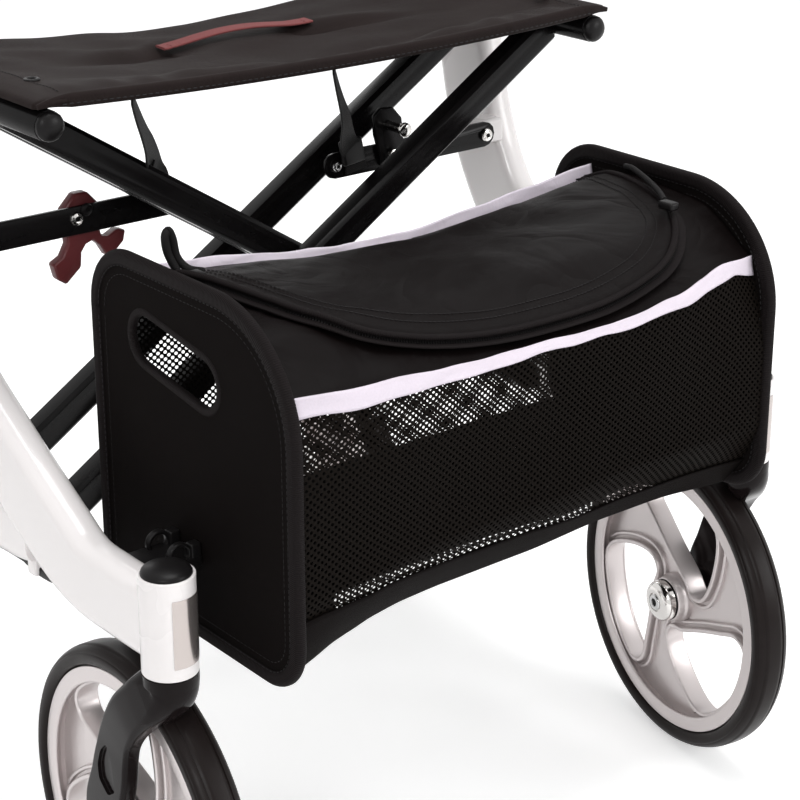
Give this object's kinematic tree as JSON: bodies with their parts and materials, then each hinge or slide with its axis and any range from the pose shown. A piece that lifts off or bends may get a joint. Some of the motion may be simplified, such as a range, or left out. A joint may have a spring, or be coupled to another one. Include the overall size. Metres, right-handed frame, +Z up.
{
  "type": "rollator",
  "caption": "Cross-folding walker on wheels with swivelling front casters, a sling seat over a scissor frame, a front bag, height-adjustable handles and cable-type brakes.",
  "frame": {"origin": "on the floor, midway between the side frames, at the middle of the whole length", "axes": "+Z up, -Y the way the user walks, +X to the user's left"},
  "size_m": [0.6136, 0.7072, 0.922],
  "materials": {
    "white_paint": "gloss",
    "black_paint": "gloss",
    "black_plastic": "satin",
    "red_plastic": "satin",
    "steel": "polished",
    "rim_silver": "satin metallic",
    "rubber": "matte",
    "grip_rubber": "matte",
    "seat_fabric": "padded woven",
    "bag_fabric": "woven",
    "strap_red": "webbing"
  },
  "bodies": {
    "cross_a": {"cross_bar_a_front": "black_paint", "cross_bar_a_rear": "black_paint", "centre_pivot_bolt": "black_plastic", "seat_tube_left": "black_paint", "seat_tube_cap_left": "black_plastic"},
    "cross_b": {"cross_bar_b_front": "black_paint", "cross_bar_b_rear": "black_paint", "seat_tube_right": "black_paint", "seat_tube_cap_right": "black_plastic"},
    "seat": {"seat_pad": "seat_fabric", "seat_pull_strap": "strap_red", "webbing_right": "bag_fabric", "webbing_left": "bag_fabric"},
    "clip": {"fold_clip": "red_plastic"},
    "frame_right": {"main_tube_right": "white_paint", "rear_leg_right": "white_paint", "head_tube_right": "white_paint", "head_cap_right": "black_plastic", "rear_carrier_right": "black_plastic", "rear_axle_right": "steel", "pivot_tube_right": "black_paint", "bag_panel_right": "bag_fabric", "bag_body": "bag_fabric", "back_strap": "seat_fabric"},
    "link_right": {"fold_link_right": "black_paint"},
    "caster_right": {"caster_fork_right": "black_plastic", "front_axle_right": "steel"},
    "front_wheel_right": {"front_rim_right": "rim_silver", "front_tyre_right": "rubber"},
    "rear_wheel_right": {"rear_rim_right": "rim_silver", "rear_tyre_right": "rubber"},
    "handle_right": {"handle_tube_right": "black_paint", "handle_grip_right": "grip_rubber", "brake_clamp_right": "black_plastic"},
    "lever_right": {"brake_lever_right": "black_plastic"},
    "shoe_right": {"brake_shoe_right": "steel"},
    "knob_right": {"height_knob_right": "black_plastic"},
    "frame_left": {"main_tube_left": "white_paint", "rear_leg_left": "white_paint", "head_tube_left": "white_paint", "head_cap_left": "black_plastic", "rear_carrier_left": "black_plastic", "rear_axle_left": "steel", "pivot_tube_left": "black_paint", "bag_panel_left": "bag_fabric"},
    "link_left": {"fold_link_left": "black_paint", "catch_plate": "black_paint", "catch_pin": "steel"},
    "caster_left": {"caster_fork_left": "black_plastic", "front_axle_left": "steel"},
    "front_wheel_left": {"front_rim_left": "rim_silver", "front_tyre_left": "rubber"},
    "rear_wheel_left": {"rear_rim_left": "rim_silver", "rear_tyre_left": "rubber"},
    "handle_left": {"handle_tube_left": "black_paint", "handle_grip_left": "grip_rubber", "brake_clamp_left": "black_plastic"},
    "lever_left": {"brake_lever_left": "black_plastic"},
    "shoe_left": {"brake_shoe_left": "steel"},
    "knob_left": {"height_knob_left": "black_plastic"}
  },
  "joints": [
    {"name": "fold", "type": "hinge", "parent": "frame_right", "child": "cross_a", "pos_m": [-0.2425, 0, 0.2818], "axis": [0, -1, 0], "range_deg": [0, 41], "deforming": ["seat_pad", "seat_pull_strap", "webbing_right", "webbing_left", "bag_body", "back_strap"]},
    {"name": "cross_pivot", "type": "hinge", "parent": "cross_a", "child": "cross_b", "pos_m": [0, 0, 0.4369], "axis": [0, -1, 0], "range_deg": [-82, 0], "deforming": ["seat_pad", "seat_pull_strap", "webbing_right", "webbing_left", "bag_body", "back_strap"]},
    {"name": "frame_pivot_left", "type": "hinge", "parent": "cross_b", "child": "frame_left", "pos_m": [0.2425, 0, 0.2818], "axis": [0, -1, 0], "range_deg": [0, 41], "deforming": ["seat_pad", "seat_pull_strap", "webbing_right", "webbing_left", "bag_body", "back_strap"]},
    {"name": "seat_pivot", "type": "hinge", "parent": "cross_a", "child": "seat", "pos_m": [0.2425, 0, 0.592], "axis": [0, -1, 0], "range_deg": [-41, 0], "deforming": ["seat_pad", "seat_pull_strap", "webbing_right", "webbing_left", "bag_body", "back_strap"]},
    {"name": "link_pivot_right", "type": "hinge", "parent": "frame_right", "child": "link_right", "pos_m": [-0.233, -0.011, 0.48539], "axis": [0, -1, 0], "range_deg": [0, 73.72]},
    {"name": "link_pivot_left", "type": "hinge", "parent": "frame_left", "child": "link_left", "pos_m": [0.233, -0.011, 0.48539], "axis": [0, 1, 0], "range_deg": [0, 73.72]},
    {"name": "clip_turn", "type": "hinge", "parent": "link_right", "child": "clip", "pos_m": [-0.148, -0.011, 0.48939], "axis": [0, 1, 0], "range_deg": [0, 20], "stiffness_Nm_per_rad": 0.02},
    {"name": "swivel_right", "type": "hinge", "parent": "frame_right", "child": "caster_right", "pos_m": [-0.2685, -0.2875, 0.2745], "axis": [0, 0, 1], "continuous": true},
    {"name": "front_roll_right", "type": "hinge", "parent": "caster_right", "child": "front_wheel_right", "pos_m": [-0.25731, -0.22485, 0.127], "axis": [0.9994, -0.0349, 0], "continuous": true},
    {"name": "rear_roll_right", "type": "hinge", "parent": "frame_right", "child": "rear_wheel_right", "pos_m": [-0.2595, 0.2515, 0.1015], "axis": [1, 0, 0], "continuous": true},
    {"name": "height_right", "type": "slide", "parent": "frame_right", "child": "handle_right", "axis": [0, 0.1805, 0.9836], "range_m": [-0.05, 0.06]},
    {"name": "knob_turn_right", "type": "hinge", "parent": "frame_right", "child": "knob_right", "pos_m": [-0.2685, 0.07489, 0.69438], "axis": [-1, 0, 0], "range_deg": [-540, 0]},
    {"name": "swivel_left", "type": "hinge", "parent": "frame_left", "child": "caster_left", "pos_m": [0.2685, -0.2875, 0.2745], "axis": [0, 0, 1], "continuous": true},
    {"name": "front_roll_left", "type": "hinge", "parent": "caster_left", "child": "front_wheel_left", "pos_m": [0.27169, -0.22394, 0.127], "axis": [0.9816, -0.1908, 0], "continuous": true},
    {"name": "rear_roll_left", "type": "hinge", "parent": "frame_left", "child": "rear_wheel_left", "pos_m": [0.2595, 0.2515, 0.1015], "axis": [1, 0, 0], "continuous": true},
    {"name": "height_left", "type": "slide", "parent": "frame_left", "child": "handle_left", "axis": [0, 0.1805, 0.9836], "range_m": [-0.05, 0.06]},
    {"name": "knob_turn_left", "type": "hinge", "parent": "frame_left", "child": "knob_left", "pos_m": [0.2685, 0.07489, 0.69438], "axis": [1, 0, 0], "range_deg": [-540, 0]},
    {"name": "brake_right", "type": "hinge", "parent": "handle_right", "child": "lever_right", "pos_m": [-0.2685, 0.17014, 0.86411], "axis": [1, 0, 0], "range_deg": [0, 8], "stiffness_Nm_per_rad": 0.5},
    {"name": "shoe_turn_right", "type": "hinge", "parent": "frame_right", "child": "shoe_right", "pos_m": [-0.2595, 0.18944, 0.20479], "axis": [1, 0, 0], "range_deg": [0, 6.4]},
    {"name": "brake_left", "type": "hinge", "parent": "handle_left", "child": "lever_left", "pos_m": [0.2685, 0.17014, 0.86411], "axis": [1, 0, 0], "range_deg": [0, 8], "stiffness_Nm_per_rad": 0.5},
    {"name": "shoe_turn_left", "type": "hinge", "parent": "frame_left", "child": "shoe_left", "pos_m": [0.2595, 0.18944, 0.20479], "axis": [1, 0, 0], "range_deg": [0, 6.4]}
  ],
  "couplings": [
    {"joint": "cross_pivot", "follows": "fold", "ratio": -2},
    {"joint": "frame_pivot_left", "follows": "fold", "ratio": 1},
    {"joint": "seat_pivot", "follows": "fold", "ratio": -1},
    {"joint": "link_pivot_right", "follows": "fold", "ratio": 1.798},
    {"joint": "link_pivot_left", "follows": "fold", "ratio": 1.798},
    {"joint": "shoe_turn_right", "follows": "brake_right", "ratio": 0.75},
    {"joint": "shoe_turn_left", "follows": "brake_left", "ratio": 0.75}
  ]
}
